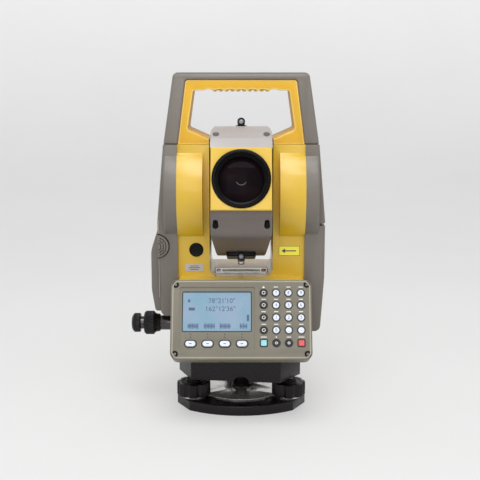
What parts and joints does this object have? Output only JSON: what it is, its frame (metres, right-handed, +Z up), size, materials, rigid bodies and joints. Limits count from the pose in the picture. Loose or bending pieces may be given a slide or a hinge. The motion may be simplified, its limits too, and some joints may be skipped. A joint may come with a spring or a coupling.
{
  "type": "surveying total station",
  "caption": "Electronic total station: telescope tilting in a yoke with carrying handle and keyboard, on a levelling tribrach with foot screws.",
  "frame": {"origin": "on the vertical axis at the underside of the base plate, which is the mouth of the tripod thread", "axes": "+Z up along the vertical axis; -Y towards the keyboard and the objective; -X towards the battery"},
  "size_m": [0.1946, 0.1809, 0.336],
  "materials": {
    "bare_steel": "turned steel",
    "barrel_black": "matt black anodised metal",
    "board_green": "printed circuit board",
    "case_grey": "fine textured warm grey plastic",
    "clear_glass": "coated optical glass",
    "cover_grey": "fine textured grey plastic",
    "key_blue": "pale blue silicone rubber key",
    "key_dark": "dark silicone rubber key",
    "key_red": "red silicone rubber key",
    "key_white": "pale silicone rubber key",
    "knob_black": "ribbed black plastic",
    "level_metal": "satin anodised aluminium",
    "panel_grey": "fine textured khaki grey plastic",
    "screen_glass": "backlit liquid crystal display under its window",
    "tribrach_black": "satin black stove enamel",
    "yellow_enamel": "satin yellow enamel on the casting",
    "yellow_plastic": "satin yellow plastic"
  },
  "bodies": {
    "tribrach": {"base_plate": "tribrach_black", "spring_plate": "bare_steel", "tribrach_body": "tribrach_black", "circular_level": "level_metal"},
    "alidade": {"yoke_frame": "yellow_enamel", "left_case": "case_grey", "right_case": "case_grey", "handle_shell": "case_grey", "handle_grip": "yellow_plastic", "plate_level": "level_metal", "main_spindle": "bare_steel", "horizontal_circle": "clear_glass", "keyboard_housing": "panel_grey", "display_window": "screen_glass", "circuit_board": "board_green", "cover_screws": "bare_steel"},
    "telescope": {"telescope_body": "yellow_enamel", "objective_barrel": "barrel_black", "objective_lens": "clear_glass", "telescope_top_cover": "cover_grey", "telescope_bottom_cover": "cover_grey", "sights": "barrel_black", "vertical_circle": "clear_glass"},
    "clamp_lever": {"clamp_lever": "knob_black"},
    "battery": {"battery_pack": "case_grey"},
    "battery_latch": {"battery_latch": "case_grey"},
    "plummet_ring": {"plummet_ring": "knob_black"},
    "focus_ring": {"focus_ring": "knob_black"},
    "eyepiece_ring": {"eyepiece_ring": "knob_black"},
    "horizontal_clamp": {"horizontal_clamp": "knob_black"},
    "horizontal_tangent": {"horizontal_tangent": "knob_black"},
    "vertical_clamp": {"vertical_clamp": "knob_black"},
    "vertical_tangent": {"vertical_tangent": "knob_black"},
    "foot_screw_left": {"foot_screw_left": "knob_black"},
    "foot_screw_right": {"foot_screw_right": "knob_black"},
    "foot_screw_rear": {"foot_screw_rear": "knob_black"},
    "key_a1": {"key_a1": "key_dark"},
    "key_a2": {"key_a2": "key_white"},
    "key_a3": {"key_a3": "key_white"},
    "key_a4": {"key_a4": "key_white"},
    "key_b1": {"key_b1": "key_dark"},
    "key_b2": {"key_b2": "key_white"},
    "key_b3": {"key_b3": "key_white"},
    "key_b4": {"key_b4": "key_white"},
    "key_c1": {"key_c1": "key_dark"},
    "key_c2": {"key_c2": "key_white"},
    "key_c3": {"key_c3": "key_white"},
    "key_c4": {"key_c4": "key_white"},
    "key_d1": {"key_d1": "key_dark"},
    "key_d2": {"key_d2": "key_white"},
    "key_d3": {"key_d3": "key_white"},
    "key_d4": {"key_d4": "key_white"},
    "key_e1": {"key_e1": "key_blue"},
    "key_e2": {"key_e2": "key_dark"},
    "key_e3": {"key_e3": "key_dark"},
    "key_e4": {"key_e4": "key_red"},
    "soft_key_1": {"soft_key_1": "key_white"},
    "soft_key_2": {"soft_key_2": "key_white"},
    "soft_key_3": {"soft_key_3": "key_white"},
    "soft_key_4": {"soft_key_4": "key_white"}
  },
  "joints": [
    {"name": "alidade_turn", "type": "hinge", "parent": "tribrach", "child": "alidade", "pos_m": [0, 0, 0.06], "axis": [0, 0, 1], "continuous": true},
    {"name": "telescope_tilt", "type": "hinge", "parent": "alidade", "child": "telescope", "pos_m": [0, 0, 0.218], "axis": [1, 0, 0], "continuous": true},
    {"name": "focus_turn", "type": "hinge", "parent": "telescope", "child": "focus_ring", "pos_m": [0, 0, 0.218], "axis": [0, 0.9613, -0.2756], "range_deg": [-270, 270]},
    {"name": "eyepiece_turn", "type": "hinge", "parent": "telescope", "child": "eyepiece_ring", "pos_m": [0, 0, 0.218], "axis": [0, 0.9613, -0.2756], "range_deg": [-180, 180]},
    {"name": "plummet_turn", "type": "hinge", "parent": "alidade", "child": "plummet_ring", "pos_m": [0, 0.06, 0.096], "axis": [0, 1, 0], "range_deg": [-180, 180]},
    {"name": "horizontal_clamp_turn", "type": "hinge", "parent": "alidade", "child": "horizontal_clamp", "pos_m": [-0.09, -0.015, 0.0835], "axis": [-1, 0, 0], "range_deg": [0, 90]},
    {"name": "horizontal_tangent_turn", "type": "hinge", "parent": "alidade", "child": "horizontal_tangent", "pos_m": [-0.1, -0.015, 0.0835], "axis": [-1, 0, 0], "range_deg": [-1080, 1080]},
    {"name": "vertical_clamp_turn", "type": "hinge", "parent": "alidade", "child": "vertical_clamp", "pos_m": [-0.047, 0.06, 0.163], "axis": [0, 1, 0], "range_deg": [0, 90]},
    {"name": "vertical_tangent_turn", "type": "hinge", "parent": "alidade", "child": "vertical_tangent", "pos_m": [-0.047, 0.08, 0.163], "axis": [0, 1, 0], "range_deg": [-1080, 1080]},
    {"name": "clamp_lever_turn", "type": "hinge", "parent": "tribrach", "child": "clamp_lever", "pos_m": [0.04418, 0.01876, 0.042], "axis": [-0.9205, -0.3907, 0], "range_deg": [0, 180]},
    {"name": "battery_slide", "type": "slide", "parent": "alidade", "child": "battery", "axis": [-1, 0, 0], "range_m": [0, 0.03]},
    {"name": "battery_latch_press", "type": "slide", "parent": "alidade", "child": "battery_latch", "axis": [0, 1, 0], "range_m": [0, 0.002], "stiffness_N_per_m": 400, "springref_m": -0.001},
    {"name": "foot_screw_left_turn", "type": "hinge", "parent": "tribrach", "child": "foot_screw_left", "pos_m": [-0.0485, -0.028, 0.02], "axis": [0, 0, 1], "range_deg": [-1080, 1080]},
    {"name": "foot_screw_right_turn", "type": "hinge", "parent": "tribrach", "child": "foot_screw_right", "pos_m": [0.0485, -0.028, 0.02], "axis": [0, 0, 1], "range_deg": [-1080, 1080]},
    {"name": "foot_screw_rear_turn", "type": "hinge", "parent": "tribrach", "child": "foot_screw_rear", "pos_m": [0, 0.056, 0.02], "axis": [0, 0, 1], "range_deg": [-1080, 1080]},
    {"name": "key_a1_press", "type": "slide", "parent": "alidade", "child": "key_a1", "axis": [0, 0.9135, -0.4067], "range_m": [0, 0.0008], "stiffness_N_per_m": 300, "springref_m": -0.001},
    {"name": "key_a2_press", "type": "slide", "parent": "alidade", "child": "key_a2", "axis": [0, 0.9135, -0.4067], "range_m": [0, 0.0008], "stiffness_N_per_m": 300, "springref_m": -0.001},
    {"name": "key_a3_press", "type": "slide", "parent": "alidade", "child": "key_a3", "axis": [0, 0.9135, -0.4067], "range_m": [0, 0.0008], "stiffness_N_per_m": 300, "springref_m": -0.001},
    {"name": "key_a4_press", "type": "slide", "parent": "alidade", "child": "key_a4", "axis": [0, 0.9135, -0.4067], "range_m": [0, 0.0008], "stiffness_N_per_m": 300, "springref_m": -0.001},
    {"name": "key_b1_press", "type": "slide", "parent": "alidade", "child": "key_b1", "axis": [0, 0.9135, -0.4067], "range_m": [0, 0.0008], "stiffness_N_per_m": 300, "springref_m": -0.001},
    {"name": "key_b2_press", "type": "slide", "parent": "alidade", "child": "key_b2", "axis": [0, 0.9135, -0.4067], "range_m": [0, 0.0008], "stiffness_N_per_m": 300, "springref_m": -0.001},
    {"name": "key_b3_press", "type": "slide", "parent": "alidade", "child": "key_b3", "axis": [0, 0.9135, -0.4067], "range_m": [0, 0.0008], "stiffness_N_per_m": 300, "springref_m": -0.001},
    {"name": "key_b4_press", "type": "slide", "parent": "alidade", "child": "key_b4", "axis": [0, 0.9135, -0.4067], "range_m": [0, 0.0008], "stiffness_N_per_m": 300, "springref_m": -0.001},
    {"name": "key_c1_press", "type": "slide", "parent": "alidade", "child": "key_c1", "axis": [0, 0.9135, -0.4067], "range_m": [0, 0.0008], "stiffness_N_per_m": 300, "springref_m": -0.001},
    {"name": "key_c2_press", "type": "slide", "parent": "alidade", "child": "key_c2", "axis": [0, 0.9135, -0.4067], "range_m": [0, 0.0008], "stiffness_N_per_m": 300, "springref_m": -0.001},
    {"name": "key_c3_press", "type": "slide", "parent": "alidade", "child": "key_c3", "axis": [0, 0.9135, -0.4067], "range_m": [0, 0.0008], "stiffness_N_per_m": 300, "springref_m": -0.001},
    {"name": "key_c4_press", "type": "slide", "parent": "alidade", "child": "key_c4", "axis": [0, 0.9135, -0.4067], "range_m": [0, 0.0008], "stiffness_N_per_m": 300, "springref_m": -0.001},
    {"name": "key_d1_press", "type": "slide", "parent": "alidade", "child": "key_d1", "axis": [0, 0.9135, -0.4067], "range_m": [0, 0.0008], "stiffness_N_per_m": 300, "springref_m": -0.001},
    {"name": "key_d2_press", "type": "slide", "parent": "alidade", "child": "key_d2", "axis": [0, 0.9135, -0.4067], "range_m": [0, 0.0008], "stiffness_N_per_m": 300, "springref_m": -0.001},
    {"name": "key_d3_press", "type": "slide", "parent": "alidade", "child": "key_d3", "axis": [0, 0.9135, -0.4067], "range_m": [0, 0.0008], "stiffness_N_per_m": 300, "springref_m": -0.001},
    {"name": "key_d4_press", "type": "slide", "parent": "alidade", "child": "key_d4", "axis": [0, 0.9135, -0.4067], "range_m": [0, 0.0008], "stiffness_N_per_m": 300, "springref_m": -0.001},
    {"name": "key_e1_press", "type": "slide", "parent": "alidade", "child": "key_e1", "axis": [0, 0.9135, -0.4067], "range_m": [0, 0.0008], "stiffness_N_per_m": 300, "springref_m": -0.001},
    {"name": "key_e2_press", "type": "slide", "parent": "alidade", "child": "key_e2", "axis": [0, 0.9135, -0.4067], "range_m": [0, 0.0008], "stiffness_N_per_m": 300, "springref_m": -0.001},
    {"name": "key_e3_press", "type": "slide", "parent": "alidade", "child": "key_e3", "axis": [0, 0.9135, -0.4067], "range_m": [0, 0.0008], "stiffness_N_per_m": 300, "springref_m": -0.001},
    {"name": "key_e4_press", "type": "slide", "parent": "alidade", "child": "key_e4", "axis": [0, 0.9135, -0.4067], "range_m": [0, 0.0008], "stiffness_N_per_m": 300, "springref_m": -0.001},
    {"name": "soft_key_1_press", "type": "slide", "parent": "alidade", "child": "soft_key_1", "axis": [0, 0.9135, -0.4067], "range_m": [0, 0.0008], "stiffness_N_per_m": 300, "springref_m": -0.001},
    {"name": "soft_key_2_press", "type": "slide", "parent": "alidade", "child": "soft_key_2", "axis": [0, 0.9135, -0.4067], "range_m": [0, 0.0008], "stiffness_N_per_m": 300, "springref_m": -0.001},
    {"name": "soft_key_3_press", "type": "slide", "parent": "alidade", "child": "soft_key_3", "axis": [0, 0.9135, -0.4067], "range_m": [0, 0.0008], "stiffness_N_per_m": 300, "springref_m": -0.001},
    {"name": "soft_key_4_press", "type": "slide", "parent": "alidade", "child": "soft_key_4", "axis": [0, 0.9135, -0.4067], "range_m": [0, 0.0008], "stiffness_N_per_m": 300, "springref_m": -0.001}
  ]
}
